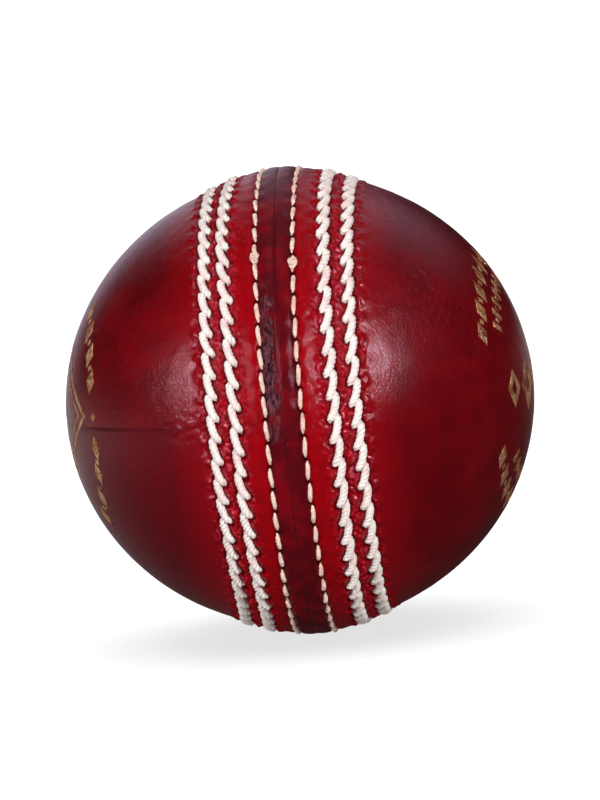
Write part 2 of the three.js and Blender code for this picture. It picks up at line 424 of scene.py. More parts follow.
def handling_wrinkles(skin):
    """Light dents and wrinkles over the plain leather, most of them beside the seam."""
    beside_seam = skin.outside_band * smoothstep(0.72, 0.36, skin.angle)
    return (0.005 * skin.outside_band + 0.02 * beside_seam) * skin.waves(2.6, 51), 0


LEATHER_FEATURES = (
    slow_unevenness,
    partial(thick_row_bed, row="middle"),
    partial(thick_row_bed, row="outer"),
    barb_creases,
    outer_puckers,
    inner_row_bed,
    seam_joint,
    raw_edge_fibres,
    quarter_joint,
    handling_wrinkles,
)


def leather_surface(turn, angle, side):
    """(distance from the centre, painted cavity shade, raw edge share) of the finished
    leather.
    """
    skin = Skin(turn, angle, side)
    radius = band_radius(angle)
    cavity_shade = np.zeros(angle.shape)
    for feature in LEATHER_FEATURES:
        height, hollow_shade = feature(skin)
        radius = radius + height
        cavity_shade = np.maximum(cavity_shade, hollow_shade)
    return radius, cavity_shade, raw_edge_share(skin)


def band_rows():
    """(angle from the seam, columns in a half turn) of every row of a quarter's mesh."""
    first = math.degrees(JOINT_GAP / SEAM_RADIUS)
    zones = (
        # first and last angle in degrees, rows, columns
        (first, 21.6, 86, 720),
        (22, 36, 30, 360),
        (36.8, 60, 28, 180),
        (61.2, 78, 16, 90),
        (79.5, 87.5, 7, 45),
    )
    return [(angle, columns) for low, high, rows, columns in zones
            for angle in np.radians(np.linspace(low, high, rows))]


def sharpen_between_slots(piece):
    """Stops the smooth shading where the polished skin meets a cut edge."""
    shape = bmesh.new()
    shape.from_mesh(piece.data)
    for edge in shape.edges:
        edge.smooth = len({face.material_index for face in edge.link_faces}) == 1
    shape.to_mesh(piece.data)
    shape.free()


def quarter_turns(turn_start, from_axis, columns):
    """Turn angles across a quarter that leave a gap to its neighbour."""
    edge = min(QUARTER_GAP / from_axis, 0.2)
    return turn_start + np.linspace(edge, TAU / 2 - edge, columns + 1)


def leather_quarter(name, side, turn_start):
    """One closed leather quarter: outside, cut edges and suede inside."""
    rows, shade_and_raw_edge = [], []
    for angle, columns in band_rows():
        turn = quarter_turns(turn_start, SHOULDER_RADIUS * math.cos(angle), columns)
        angles = np.full(turn.shape, angle)
        radius, cavity_shade, raw = leather_surface(turn, angles, side)
        rows.append(place(turn, radius * np.cos(angles), side * radius * np.sin(angles)))
        # Painted cavity shade and the raw edge share of each point.
        shade_and_raw_edge.append([cavity_shade, raw])
    rows.append(np.array([[side * POLE_RADIUS, 0, 0]]))
    outer_count = len(rows)
    for angle in np.linspace(JOINT_GAP / SEAM_RADIUS, math.radians(84), 22):
        from_axis = LEATHER_INSIDE_RADIUS * math.cos(angle)
        turn = quarter_turns(turn_start, from_axis, max(8, int(90 * math.cos(angle))))
        x = side * LEATHER_INSIDE_RADIUS * math.sin(angle)
        rows.append(place(turn, from_axis, np.full(turn.shape, x)))
    rows.append(np.array([[side * LEATHER_INSIDE_RADIUS, 0, 0]]))

    points = np.concatenate(rows)
    ends = np.cumsum([len(row) for row in rows])
    numbers = [row.tolist() for row in np.split(np.arange(len(points)), ends[:-1])]
    outer, inner = numbers[:outer_count], numbers[outer_count:]
    outside = join_rows(outer)
    hidden = flipped(join_rows(inner)) + flipped(zip_rows(outer[0], inner[0]))
    hidden += zip_rows([row[0] for row in outer], [row[0] for row in inner])
    hidden += flipped(zip_rows([row[-1] for row in outer], [row[-1] for row in inner]))
    faces = outside + hidden
    if side < 0:
        faces = flipped(faces)
    slots = [0] * len(outside) + [1] * len(hidden)
    shade_and_raw_edge = np.concatenate(shade_and_raw_edge, axis=1)
    cavity_shade, raw = np.pad(shade_and_raw_edge, ((0, 0), (0, len(points) - shade_and_raw_edge.shape[1])))
    quarter = mesh_object(name, points, faces, {"cavity_shade": cavity_shade, "raw_edge": raw}, slots)
    sharpen_between_slots(quarter)
    return quarter


# ---- Threads ---------------------------------------------

def twisted_cord(middle, outward, thickness, plies, cord_radius, ply_share, lay):
    """(points, faces) of a closed cord of twisted plies along middle (N, 3).

    outward (N, 3) is up, thickness (N) scales the cord, ply_share is one ply's radius as
    a share of the cord's, and lay is the length of one turn of the twist.
    """
    along = unit(np.roll(middle, -1, axis=0) - np.roll(middle, 1, axis=0))
    up = unit(outward - (outward * along).sum(axis=1)[:, None] * along)
    across = np.cross(along, up)
    steps = np.linalg.norm(np.roll(middle, -1, axis=0) - middle, axis=1)
    run = np.concatenate([[0], np.cumsum(steps)[:-1]])
    turns = round(steps.sum() / lay)
    ply_radius = (cord_radius * ply_share * thickness)[:, None, None]
    lay_radius = (cord_radius * (1 - ply_share) * thickness)[:, None]
    twist = TAU * turns * run / steps.sum()
    points, faces = [], []
    count = len(middle)
    sides = 8
    around = np.arange(sides) * TAU / sides
    for ply in range(plies):
        phase = (twist + ply * TAU / plies)[:, None]
        centre = middle + lay_radius * (np.cos(phase) * up + np.sin(phase) * across)
        ply_along = unit(np.roll(centre, -1, axis=0) - np.roll(centre, 1, axis=0))
        ply_up = unit(up - (up * ply_along).sum(axis=1)[:, None] * ply_along)
        ply_across = np.cross(ply_along, ply_up)
        ring = np.cos(around)[None, :, None] * ply_up[:, None, :]
        ring = ring + np.sin(around)[None, :, None] * ply_across[:, None, :]
        xyz = centre[:, None, :] + ply_radius * ring
        points.append(xyz.reshape(-1, 3))
        numbers = np.arange(count * sides).reshape(count, sides) + ply * count * sides
        faces += join_rows(np.pad(numbers, (0, 1), "wrap").T.tolist())
    return np.concatenate(points), faces


def over_leather(turn, angle, side, height):
    """Points and outward directions at a height over the plain band shape."""
    radius = band_radius(angle) + height
    outward = place(turn, np.cos(angle), side * np.sin(angle))
    return radius[:, None] * outward, outward


VISIBLE_STEPS = 24
HIDDEN_STEPS = 7


def thick_row(name, row, side, seed):
    """A middle or outer row: slanted stitches, joined below the leather into one cord."""
    rng = np.random.default_rng(seed)
    shown = np.linspace(0, 1, VISIBLE_STEPS)
    hidden = np.linspace(0, 1, HIDDEN_STEPS + 2)[1:-1]
    at, off = ThickStitch.middle(shown)
    at = np.append(at, at[-1] + (1 + at[0] - at[-1]) * hidden)
    off = np.append(off, off[-1] + (off[0] - off[-1]) * hidden)
    rise = smoothstep(0, 0.15, shown) * smoothstep(1.0, 0.88, shown)
    rise = np.append(rise, np.zeros(HIDDEN_STEPS))
    dip = np.append(np.zeros(VISIBLE_STEPS), 0.45 * np.sin(hidden * TAU / 2))
    taper = smoothstep(0, 0.15, shown) * smoothstep(1.0, 0.82, shown)
    taper = THICK_TAPER + (1 - THICK_TAPER) * np.append(taper, np.zeros(HIDDEN_STEPS))
    along, across, height = [], [], []
    for stitch in range(STITCHES[row]):
        swing = 1 + rng.normal(0, 0.09)
        shift = rng.normal(0, 0.025)
        lift = rng.normal(0, 0.035)
        along.append(stitch + shift + at)
        across.append(off * swing)
        height.append((THICK_SUNK + THICK_SHOWN + lift) * rise - THICK_SUNK - dip)
    turn = (np.concatenate(along) + row_phase(row, side)) * TAU / STITCHES[row]
    angle = row_angles(row, side, turn, np.concatenate(across))
    middle, outward = over_leather(turn, angle, side, np.concatenate(height))
    thickness = np.tile(taper, STITCHES[row])
    points, faces = twisted_cord(middle, outward, thickness, 3, THICK_CORD_RADIUS, 0.52, 2.0)
    return mesh_object(name, points, faces)


def thin_row(name, side, seed):
    """An inner row: dashes of thin thread, and a small knot on the upper front."""
    rng = np.random.default_rng(seed)
    steps = 26
    shares = np.arange(steps) / steps
    arch = np.sin(np.clip((shares - 0.08) / 0.84, 0, 1) * TAU / 2) ** 0.85
    along, across, height = [], [], []
    for stitch in range(STITCHES["inner"]):
        along.append(stitch + shares)
        across.append(ThinStitch.slant(shares) * arch + rng.normal(0, 0.03) * arch)
        height.append((0.87 + rng.normal(0, 0.03)) * arch - THIN_SUNK)
    turn = (np.concatenate(along) + row_phase("inner", side)) * TAU / STITCHES["inner"]
    angle = row_angles("inner", side, turn, np.concatenate(across))
    middle, outward = over_leather(turn, angle, side, np.concatenate(height))
    even = np.ones(len(middle))
    points, faces = twisted_cord(middle, outward, even, 3, THIN_CORD_RADIUS, 0.56, 1.5)
    knot_points, knot_faces = knot(KNOT_TURN + 0.02 * side, side)
    faces += [tuple(i + len(points) for i in face) for face in knot_faces]
    return mesh_object(name, np.concatenate([points, knot_points]), faces)


def knot(turn, side):
    """A small trefoil knot of thin thread that lies on an inner row."""
    steps = 72
    share = np.arange(steps) * TAU / steps
    swing = 0.30 * (2 + np.cos(3 * share))
    along, across = swing * np.cos(2 * share), 0.62 * swing * np.sin(2 * share)
    turns = turn + along / SEAM_RADIUS
    angles = row_angles("inner", side, turns, across)
    height = 0.22 + 0.2 * np.sin(3 * share)
    middle, outward = over_leather(turns, angles, side, height)
    return twisted_cord(middle, outward, np.ones(steps), 2, 0.25, 0.6, 0.9)


# ---- Inside the ball -------------------------------------

def node_radii(node):
    """(inside, outside) radius of a CAD shell centred on the ball."""
    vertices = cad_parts[node].data.vertices
    radii = [vertex.co.length / MM for vertex in vertices]
    return min(radii), max(radii)


def shell_patch(name, inside, outside, unevenness, turns=(0, TAU), leans=(-TAU / 4, TAU / 4)):
    """A closed patch of a shell centred on the ball, between two turn angles and two
    angles from the seam plane. It is solid if inside is 0.
    """
    whole = turns[1] - turns[0] > TAU - 0.001
    columns = 24 + round(60 * (turns[1] - turns[0]) / TAU)
    turn, lean = np.meshgrid(np.linspace(*turns, columns), np.linspace(*leans, 32))
    outward = place(turn.ravel(), np.cos(lean.ravel()), np.sin(lean.ravel()))
    if not whole:
        # Keeps the patch clear of its neighbours, right up to the poles.
        nudge = place(np.array([sum(turns) / 2]), 1, np.zeros(1)) * CORK_CLEARANCE
        outward = unit(outward + nudge / outside)
    sheets = []
    for radius, seed in ((outside, 81), (inside, 82)):
        bumps = 0.5 - 0.5 * waves(outward * radius, 2.2, seed)
        sheets.append(outward * (radius - unevenness * bumps)[:, None])
    top = np.arange(turn.size).reshape(turn.shape)
    bottom = top + turn.size
    faces = join_rows(top)
    if inside > 0:
        faces += join_rows(bottom)
        for end, edge in ((0, leans[0]), (-1, leans[1])):
            if abs(edge) < TAU / 4 - 0.001:
                faces += zip_rows(bottom[end], top[end])
        if not whole:
            faces += zip_rows(top[:, 0], bottom[:, 0]) + zip_rows(bottom[:, -1], top[:, -1])
    patch = mesh_object(name, np.concatenate(sheets), np.array(faces).tolist())
    tidy_mesh(patch)
    patch.data.set_sharp_from_angle(angle=math.radians(40))
    return patch


# ---- Gold foil -------------------------------------------
#
# A plain geometric ornament is stamped round each pole. A shape is a grid of flat points
# (rows, columns, 2): millimetres to the right of the pole and above it, seen from outside.

FOIL_TOP = 0.03             # over the leather
FOIL_BOTTOM = -0.06


def polar(radius, angle):
    """Flat points at a radius and an angle clockwise from straight up."""
    return np.stack([radius * np.sin(angle), radius * np.cos(angle)], axis=-1)


def arc_block(radius, angle, width, height):
    """A small block on an arc round the pole."""
    angles = angle + np.linspace(-0.5, 0.5, 4) * width / radius
    radii = radius + np.linspace(-0.5, 0.5, 4) * height
    return polar(radii[:, None], angles[None, :])


def lozenge_frame(centre, half_width, half_height, inner):
    """A lozenge with a smaller lozenge cut out of it. inner is the hole's share."""
    corners = np.array([(0, 1), (1, 0), (0, -1), (-1, 0), (0, 1)], float)
    sizes = np.array([half_width, half_height])
    share = np.linspace(0, 4, 41)
    whole = np.minimum(share.astype(int), 3)
    part = (share - whole)[:, None]
    outline = corners[whole] * (1 - part) + corners[whole + 1] * part
    scale = np.linspace(inner, 1, 5)[:, None, None]
    return np.array(centre) + scale * outline[None] * sizes


def arc_lozenge(radius, angle, width, height):
    return lozenge_frame(polar(radius, angle), width / 2, height / 2, 0.0)


BARS_AND_DOTS = ((arc_block, 1.0, 2.6), (arc_block, 0.6, 1.0))
LOZENGES_AND_DOTS = ((arc_lozenge, 2.5, 4.2), (arc_block, 0.8, 1.0))


def on_arc(radius, middle, half_spread, count, pair):
    """Small shapes spread evenly on an arc, of the two kinds in pair by turns."""
    shapes = []
    angles = middle + np.linspace(-half_spread, half_spread, count)
    for number, angle in enumerate(angles):
        make, width, height = pair[number % 2]
        shapes.append(make(radius, angle, width, height))
    return shapes


def right_stamp():
    """A row of lozenges, largest in the middle, between arcs of small shapes."""
    top, bottom = 0.0, TAU / 2
    shapes = [
        lozenge_frame((x, 0.4), 3.7 - 0.11 * abs(x), 5.6 - 0.19 * abs(x), 0.42)
        for x in (-13.2, -7.0, 0.0, 7.0, 13.2)
    ]
    shapes += on_arc(21.4, top, 1.08, 23, LOZENGES_AND_DOTS)
    shapes += on_arc(17.3, top, 0.93, 27, BARS_AND_DOTS)
    shapes += on_arc(14.8, bottom, 0.78, 19, BARS_AND_DOTS)
    shapes += on_arc(18.9, bottom, 1.00, 19, LOZENGES_AND_DOTS)
    return shapes


def left_stamp():
    """Two lozenges, one inside the other, with an arc of small shapes on each side."""
    above, arc_radius = 1.8, 20.6
    shapes = [
        lozenge_frame((0, above), 18.0, 15.2, 0.935),
        lozenge_frame((0, above), 15.6, 12.9, 0.965),
        lozenge_frame((0, above), 4.4, 3.7, 0.55),
    ]
    for side in (-1, 1):
        shapes.append(lozenge_frame((side * arc_radius, above), 0.7, 0.7, 0.0))
        for middle in (0.86, 2.07):
            shapes += on_arc(arc_radius, side * middle, 0.34, 7, LOZENGES_AND_DOTS)
    return shapes


def foil_piece(name, side, shapes):
    """Thin closed solids that follow the leather under each flat shape."""
    points, faces = [], []
    count = 0
    for grid in shapes:
        rows, columns = grid.shape[:2]
        flat = grid.reshape(-1, 2)
        away = np.linalg.norm(flat, axis=1)
        angle = TAU / 4 - away / POLE_RADIUS
        turn = np.arctan2(-flat[:, 1], -side * flat[:, 0])
        radius, _, _ = leather_surface(turn, angle, side)
        outward = place(turn, np.cos(angle), side * np.sin(angle))
        for height in (FOIL_TOP, FOIL_BOTTOM):
            points.append(outward * (radius + height)[:, None])
        top = count + np.arange(rows * columns).reshape(rows, columns)
        bottom = top + rows * columns
        count += 2 * rows * columns
        wraps = np.allclose(grid[:, 0], grid[:, -1])
        if wraps:
            top[:, -1], bottom[:, -1] = top[:, 0], bottom[:, 0]
        faces += join_rows(top) + join_rows(bottom)
        faces += zip_rows(top[0], bottom[0]) + zip_rows(bottom[-1], top[-1])
        if not wraps:
            faces += zip_rows(bottom[:, 0], top[:, 0]) + zip_rows(top[:, -1], bottom[:, -1])
    stamp = mesh_object(name, np.concatenate(points), np.array(faces).tolist())
    tidy_mesh(stamp)
    return stamp


# ---- Materials -------------------------------------------

class Nodes:
    """The node tree of a material, a light or the world."""

    def __init__(self, owner):
        owner.use_nodes = True
        self.tree = owner.node_tree

    def add(self, kind, inputs=None, **settings):
        """Makes one node. Each of inputs is a value, or a socket to link."""
        node = self.tree.nodes.new(kind)
        for key, value in settings.items():
            setattr(node, key, value)
        for key, value in (inputs or {}).items():
            self.put(node.inputs[key], value)
        return node

    def put(self, socket, value):
        if isinstance(value, bpy.types.NodeSocket):
            self.tree.links.new(value, socket)
        else:
            socket.default_value = value


class Look(Nodes):
    """A material. Its patterns are placed by the position on the piece."""

    def __init__(self, name):
        self.material = bpy.data.materials.new(name)
        super().__init__(self.material)
        self.surface = self.tree.nodes["Principled BSDF"]
        self.position = self.add("ShaderNodeTexCoord").outputs["Object"]

    def set(self, **values):
        """Sets inputs of the surface shader. Underscores stand for spaces."""
        for key, value in values.items():
            self.put(self.surface.inputs[key.replace("_", " ")], value)

    def attribute(self, name):
        return self.add("ShaderNodeAttribute", attribute_name=name).outputs["Fac"]

    def noise(self, size, detail=3.0, roughness=0.5, position=None):
        """Noise with lumps about size millimetres across, from 0 to 1."""
        inputs = {
            "Vector": position or self.position,
            "Scale": 1 / (size * MM),
            "Detail": detail,
            "Roughness": roughness,
        }
        return self.add("ShaderNodeTexNoise", inputs).outputs["Fac"]

    def cells(self, size, feature="F1"):
        inputs = {"Vector": self.position, "Scale": 1 / (size * MM)}
        node = self.add("ShaderNodeTexVoronoi", inputs, feature=feature)
        return node.outputs["Distance"]

    def stretched(self, scale, rotation=(0, 0, 0)):
        inputs = {"Vector": self.position, "Scale": scale, "Rotation": rotation}
        return self.add("ShaderNodeMapping", inputs).outputs["Vector"]

    def math(self, operation, a, b=0.0):
        return self.add("ShaderNodeMath", {0: a, 1: b}, operation=operation).outputs[0]

    def remap(self, value, low, high, to_low=0.0, to_high=1.0):
        inputs = {"Value": value, "From Min": low, "From Max": high,
                  "To Min": to_low, "To Max": to_high}
        return self.add("ShaderNodeMapRange", inputs).outputs["Result"]

    def mix(self, share, a, b):
        """Mix of two colours, each an (r, g, b) or a socket."""
        a, b = [(*colour, 1.0) if isinstance(colour, tuple) else colour for colour in (a, b)]
        return self.add("ShaderNodeMix", {0: share, 6: a, 7: b}, data_type="RGBA").outputs[2]

    def bump(self, height, distance, strength=1.0, below=None):
        inputs = {"Height": height, "Distance": distance * MM, "Strength": strength}
        if below is not None:
            inputs["Normal"] = below
        return self.add("ShaderNodeBump", inputs).outputs["Normal"]


def distance_from_seam(look):
    """0 at the seam, 1 at a pole."""
    x = look.add("ShaderNodeSeparateXYZ", {0: look.position}).outputs["X"]
    return look.math("DIVIDE", look.math("ABSOLUTE", x), POLE_RADIUS * MM)


SHEEN_TINT = (0.88, 0.88, 1.0, 1.0)      # of the light that polished leather mirrors


def crimson(look, near_seam, tone):
    """Crimson with maroon clouds, brighter but blotchy in the stitched band."""
    colour = look.mix(look.remap(look.noise(17, 2), 0.3, 0.7), (0.135, 0.0005, 0.0025),
                      (0.225, 0.0009, 0.0042))
    clouds = look.remap(look.noise(4.5, 4, 0.6), 0.38, 0.68, 0, 0.75)
    colour = look.mix(clouds, colour, (0.095, 0.0005, 0.0024))
    colour = look.mix(tone, colour, (0.125, 0.0010, 0.0062))
    bright = look.math("MULTIPLY", near_seam, 0.9)
    colour = look.mix(bright, colour, (0.33, 0.0013, 0.0062))
    blotches = look.remap(look.noise(1.5, 4, 0.65), 0.42, 0.7, 0, 0.75)
    blotches = look.math("MULTIPLY", near_seam, blotches)
    return look.mix(blotches, colour, (0.20, 0.0018, 0.0050))


def worn_strip(look, from_seam, colour):
    """The dark, worn leather between the two inner rows."""
    worn_red = look.remap(look.noise(3.2, 3), 0.45, 0.62)
    worn = look.mix(worn_red, (0.075, 0.0040, 0.0090), (0.17, 0.0040, 0.0090))
    return look.mix(look.remap(from_seam, 0.080, 0.062, 0, 0.85), colour, worn)


def torn_fibres(look):
    """Colour of the raw edge: pale fibres that lie along it."""
    lying = look.stretched((1, 1, 0.3))
    pale = look.remap(look.noise(0.4, 4, 0.6, lying), 0.42, 0.62)
    return look.mix(pale, (0.022, 0.0040, 0.0075), (0.19, 0.062, 0.078))


def leather_grain(look):
    """Normal of the pebbled grain with its fine scratches, over wider dents."""
    pebbles = look.math("MULTIPLY", look.cells(0.52), 0.6)
    height = look.math("ADD", pebbles, look.noise(0.16, 3, 0.6))
    slanted = look.stretched((1.0, 7.0, 0.9), (0.3, 0.5, 0.9))
    scratches = look.remap(look.noise(0.9, 2, 0.5, slanted), 0.56, 0.62, 0, 0.35)
    grain = look.bump(look.math("SUBTRACT", height, scratches), 0.042, 0.9)
    return look.bump(look.noise(1.7, 2), 0.05, 0.2, grain)


def leather_skin(name, tone):
    """Polished crimson leather. tone shifts a quarter towards a deeper maroon."""
    look = Look(name)
    from_seam = distance_from_seam(look)
    near_seam = look.remap(from_seam, 0.50, 0.26)
    raw = look.attribute("raw_edge")
    cavity_shade = look.attribute("cavity_shade")

    # Painted highlights: pale pink specks between the stitch rows, which also add to the
    # shine there.
    glint_specks = look.remap(look.noise(0.6, 3, 0.6), 0.54, 0.62, 0, 0.7)
    glint_specks = look.math("MULTIPLY", glint_specks, look.remap(from_seam, 0.14, 0.19))
    glint_specks = look.math("MULTIPLY", glint_specks, look.remap(from_seam, 0.36, 0.31))

    # Painted highlight: the specks turn the colour pale pink.
    colour = look.mix(glint_specks, crimson(look, near_seam, tone), (0.62, 0.035, 0.085))
    colour = worn_strip(look, from_seam, colour)
    colour = look.mix(raw, colour, torn_fibres(look))
    # Painted shade: near-black in holes, creases, slits and round each stitch.
    colour = look.mix(look.math("MULTIPLY", cavity_shade, 0.86), colour, (0.012, 0.0010, 0.0016))

    roughness = look.remap(look.noise(6.0, 5, 0.65), 0.3, 0.75, 0.13, 0.22)
    roughness = look.math("MAXIMUM", roughness, look.math("MULTIPLY", raw, 0.9))
    shine = look.math("ADD", look.remap(from_seam, 0.075, 0.34, 0.18, 0.55), glint_specks)
    # The painted shade also dims the shine there.
    shine = look.math("MULTIPLY", shine, look.remap(cavity_shade, 0.0, 0.6, 1.0, 0.04))
    look.set(Base_Color=colour, Roughness=roughness, Normal=leather_grain(look))
    look.set(Specular_IOR_Level=shine, Specular_Tint=SHEEN_TINT)
    return look.material


def suede(name, colour_low, colour_high):
    """Matt napped fibres, as on felt and on the flesh side of leather."""
    look = Look(name)
    nap = look.noise(0.5, 5, 0.7)
    look.set(Base_Color=look.mix(look.remap(nap, 0.3, 0.7), colour_low, colour_high))
    look.set(Roughness=0.95, Sheen_Weight=0.4, Normal=look.bump(nap, 0.12, 0.8))
    return look.material


def thread(name, clean, stained, stain_size, fibre_size):
    """Spun thread: fine fibres, and stains where dye and dirt have rubbed in."""
    look = Look(name)
    fibres = look.noise(fibre_size, 4, 0.65)
    stains = look.noise(stain_size, 3, 0.6)
    colour = look.mix(look.remap(stains, 0.48, 0.75), clean, stained)
    darker = look.remap(fibres, 0.25, 0.6, 0.45, 0.0)
    colour = look.mix(darker, colour, tuple(c * 0.55 for c in stained))
    look.set(Base_Color=colour, Roughness=0.82, Sheen_Weight=0.25)
    look.set(Normal=look.bump(fibres, 0.05, 0.7))
    return look.material


def foil(name):
    """Stamped gold foil: fine crinkles, and worn specks where the leather shows."""
    look = Look(name)
    crinkle = look.noise(0.7, 3, 0.6)
    tone = look.mix(look.remap(look.noise(1.6, 3), 0.35, 0.65), (0.52, 0.22, 0.07),
                    (1.0, 0.68, 0.40))
    rubbed = look.remap(look.noise(5, 2), 0.3, 0.7, -0.08, 0.08)
    worn = look.remap(look.math("ADD", look.noise(0.4, 4, 0.7), rubbed), 0.53, 0.59)
    look.set(Base_Color=look.mix(worn, tone, (0.12, 0.003, 0.007)))
    look.set(Metallic=look.remap(worn, 0, 1, 0.6, 0), Specular_Tint=(1.0, 0.72, 0.5, 1.0))
    look.set(Roughness=look.remap(crinkle, 0.3, 0.7, 0.2, 0.45))
    look.set(Normal=look.bump(crinkle, 0.55))
    return look.material


def cork(name, dark, light, granule):
    """Pressed or natural cork: granules with dark cracks between them."""
    look = Look(name)
    cells = look.cells(granule)
    edges = look.cells(granule, feature="DISTANCE_TO_EDGE")
    colour = look.mix(look.remap(look.noise(granule * 0.8, 4), 0.3, 0.7), dark, light)
    cracks = look.remap(edges, 0.02, 0.10, 0.8, 0.0)
    colour = look.mix(cracks, colour, tuple(c * 0.3 for c in dark))
    look.set(Base_Color=colour, Roughness=0.9)
    look.set(Normal=look.bump(look.math("ADD", cells, edges), 0.2, 0.7))
    return look.material


def wool(name):
    """Tightly wound worsted yarn, seen as fine crossing strands."""
    look = Look(name)
    inputs = {"Vector": look.position, "Scale": 1 / (1.1 * MM), "Distortion": 2.0}
    strands = look.add("ShaderNodeTexWave", inputs).outputs["Fac"]
    fuzz = look.noise(0.25, 4)
    colour = look.mix(strands, (0.45, 0.37, 0.26), (0.74, 0.66, 0.52))
    colour = look.mix(look.remap(fuzz, 0.5, 0.8, 0, 0.4), colour, (0.86, 0.8, 0.68))
    look.set(Base_Color=colour, Roughness=0.95, Sheen_Weight=0.3)
    look.set(Normal=look.bump(look.math("ADD", strands, fuzz), 0.2, 0.8))
    return look.material


# ---- The ball --------------------------------------------

def add_leather():
    inside = suede("leather_flesh_side", (0.10, 0.012, 0.014), (0.20, 0.035, 0.035))
    tones = {"leather_left_lower_quarter": 0.75, "leather_left_upper_quarter": 0.15,
             "leather_right_front_quarter": 0.25, "leather_right_rear_quarter": 0.5}
    for name, side, turn_start in QUARTERS:
        quarter = leather_quarter(name + "_skin", side, turn_start)
        skin = leather_skin(name + "_crimson", tones[name])
        add_piece(quarter, [skin, inside], [name])


def add_stitch_rows():
    cord = thread("cream_cord", (0.86, 0.79, 0.73), (0.80, 0.57, 0.55), 2.2, 0.13)
    fine = thread("fine_thread", (0.86, 0.68, 0.57), (0.64, 0.34, 0.27), 1.4, 0.1)
    for number, (side_name, side) in enumerate(HEMISPHERES):
        base = f"seam_stitch_row_{side_name}_"
        row = thin_row(base + "inner_thread", side, 60 + number)
        add_piece(row, [fine], [base + "inner"])
        for row_name in ("middle", "outer"):
            seed = 70 + 2 * number + (row_name == "outer")
            row = thick_row(base + row_name + "_cord", row_name, side, seed)
            add_piece(row, [cord], [base + row_name])


def add_foil():
    gold = foil("gold_foil")
    for name, side, shapes in (("right", 1, right_stamp()), ("left", -1, left_stamp())):
        add_piece(foil_piece(f"foil_stamp_{name}", side, shapes), [gold])


def add_inside():
    """Replaces the plain CAD solids inside the cover with finer ones."""
    felt = suede("lining_felt", (0.30, 0.19, 0.11), (0.50, 0.35, 0.22))
    linen = thread("linen", (0.55, 0.46, 0.34), (0.4, 0.3, 0.2), 3, 0.12)
    natural = cork("natural_cork", (0.30, 0.16, 0.075), (0.58, 0.36, 0.19), 2.4)
    compound = cork("cork_and_rubber", (0.05, 0.03, 0.02), (0.26, 0.14, 0.08), 1.6)
    worsted = wool("worsted_yarn")

    for side_name, side in HEMISPHERES:
        node = "lining_pad_" + side_name
        inside, outside = node_radii(node)
        leans = (side * JOINT_GAP / outside, side * TAU / 4)
        pad = shell_patch(node + "_felt", inside, outside, 0.05, leans=leans)
        add_piece(pad, [felt], [node])
        hidden_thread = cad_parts["quarter_joint_thread_" + side_name].data
        hidden_thread.materials.clear()
        hidden_thread.materials.append(linen)

    node = "cork_rubber_nucleus"
    centre = shell_patch(node + "_core", 0, node_radii(node)[1], 0.2)
    add_piece(centre, [compound], [node])

    for layer in range(1, CORK_LAYERS + 1):
        stagger = 0.5 if layer % 2 == 0 else 0
        for strip in range(1, CORK_STRIPS + 1):
            node = f"cork_layer_{layer}_strip_{strip}"
            start = (strip + stagger) * TAU / CORK_STRIPS + TAU / 2
            turns = (start, start + TAU / CORK_STRIPS)
            patch = shell_patch(node + "_cork", *node_radii(node), 0.12, turns)
            add_piece(patch, [natural], [node])
        node = f"yarn_winding_{layer}"
        inside, outside = node_radii(node)
        edge = TAU / 4 - YARN_OPENING_RADIUS / outside
        winding = shell_patch(node + "_yarn", inside, outside, 0.12, leans=(-edge, edge))
        add_piece(winding, [worsted], [node])


# ---- Studio ----------------------------------------------

CAMERA_AZIMUTH = 4.3        # degrees to the ball's right side
CAMERA_ELEVATION = 5.3
CAMERA_ROLL = -5.0
CAMERA_DISTANCE = 0.75
BALL_SHARE = 0.78           # of the picture's width
EXPOSURE = 0.33
GAMMA = 0.86


def direction(azimuth, elevation):
    """Unit vector at angles in degrees. Azimuth 0 is the front and 90 the right."""
    a, e = math.radians(azimuth), math.radians(elevation)
    return Vector((math.sin(a) * math.cos(e), -math.cos(a) * math.cos(e), math.sin(e)))


def add_camera():
    """Looks at the ball's seam, a little from above, tilted so that the seam leans."""
    back = direction(CAMERA_AZIMUTH, CAMERA_ELEVATION)
    level = Vector((0, 0, 1)).cross(back).normalized()
    right = Matrix.Rotation(math.radians(CAMERA_ROLL), 3, back) @ level
    up = back.cross(right)
    camera = bpy.data.cameras.new("camera")
    # The picture is 3 wide by 4 high, and the sensor's width is its long side.
    half_width = math.tan(math.asin(SEAM_RADIUS * MM / CAMERA_DISTANCE)) / BALL_SHARE
    camera.sensor_width = 36
    camera.lens = camera.sensor_width / 2 / (half_width * 4 / 3)
    camera.clip_start = 0.01
    holder = bpy.data.objects.new("camera", camera)
    rotation = Matrix((right, up, back)).transposed().to_4x4()
    holder.matrix_world = Matrix.Translation(back * CAMERA_DISTANCE) @ rotation
    bpy.context.scene.collection.objects.link(holder)
    bpy.context.scene.camera = holder


def set_view():
    """Plain colours, with the brightness and contrast of a product picture."""
    view = bpy.context.scene.view_settings
    view.view_transform = "Standard"
    view.exposure = EXPOSURE
    view.gamma = GAMMA


